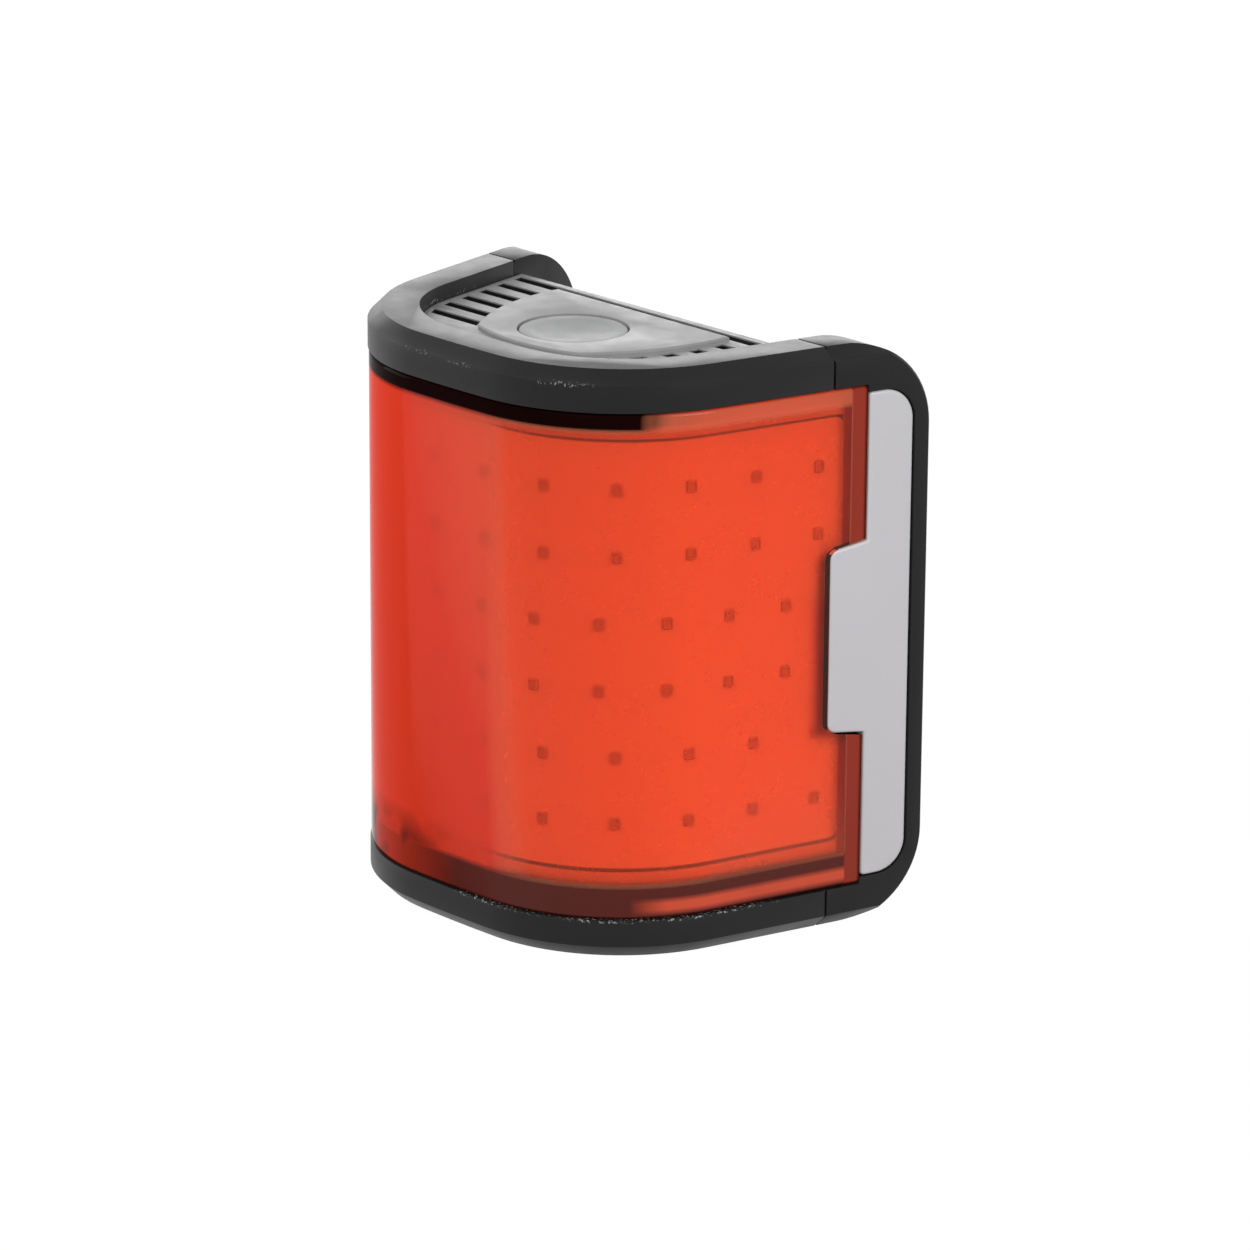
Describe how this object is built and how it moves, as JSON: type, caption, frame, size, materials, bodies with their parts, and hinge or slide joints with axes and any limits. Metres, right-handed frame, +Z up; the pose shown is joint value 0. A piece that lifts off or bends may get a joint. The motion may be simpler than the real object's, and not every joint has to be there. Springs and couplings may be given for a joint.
{
  "type": "bicycle tail light",
  "caption": "Compact rear bicycle light: black C-shaped shell, wrap-round red lens over rows of diodes, slotted top panel with a push button, and a saddle for a round seat post.",
  "frame": {"origin": "the middle of the flat underside, under the middle of the whole light", "axes": "+Z up along the seat post, -Y the way the red lens faces (rearwards on the bicycle), +Y towards the seat post, +X to the right of a person who looks at the lens"},
  "size_m": [0.052, 0.04, 0.055],
  "materials": {
    "black_shell": "moulded black, fine matt grain with a soft sheen",
    "red_lens": "clear red, polished",
    "black_rubber": "soft black rubber",
    "white_tray": "white moulding",
    "white_board": "white solder mask",
    "diode": "pale resin",
    "pale_trim": "pale warm grey, satin",
    "grey_panel": "mid grey, fine matt",
    "grey_button": "mid grey, fine matt",
    "black_mesh": "fine black mesh",
    "green_board": "green solder mask",
    "black_chip": "black resin",
    "bare_steel": "plated steel",
    "cell_foil": "laminated foil",
    "foam": "grey foam"
  },
  "bodies": {
    "light": {"front_frame": "black_shell", "rear_housing": "black_shell", "lens": "red_lens", "lens_gasket": "black_rubber", "saddle_pad": "black_rubber", "button_membrane": "black_rubber", "led_carrier": "white_tray", "led_board": "white_board", "leds": "diode", "side_trim_right": "pale_trim", "side_trim_left": "pale_trim", "top_panel": "grey_panel", "vent_mesh": "black_mesh", "switch_board": "green_board", "main_board": "green_board", "control_chip": "black_chip", "charge_chip": "black_chip", "motion_sensor": "black_chip", "buzzer": "black_chip", "tactile_switch": "bare_steel", "usb_socket": "bare_steel", "small_board_screws": "bare_steel", "hinge_pin": "bare_steel", "housing_screws": "bare_steel", "board_screws": "bare_steel", "battery": "cell_foil", "battery_pad": "foam"},
    "button": {"power_button": "grey_button", "switch_plunger": "black_chip"},
    "door": {"port_door": "black_shell", "port_seal": "black_rubber"}
  },
  "joints": [
    {"name": "button_press", "type": "slide", "parent": "light", "child": "button", "axis": [0, 0, -1], "range_m": [0, 0.0006], "stiffness_N_per_m": 2500, "deforming": ["button_membrane"]},
    {"name": "door_hinge", "type": "hinge", "parent": "light", "child": "door", "pos_m": [0, 0.00714, 0.0036], "axis": [-1, 0, 0], "range_deg": [0, 110]}
  ]
}
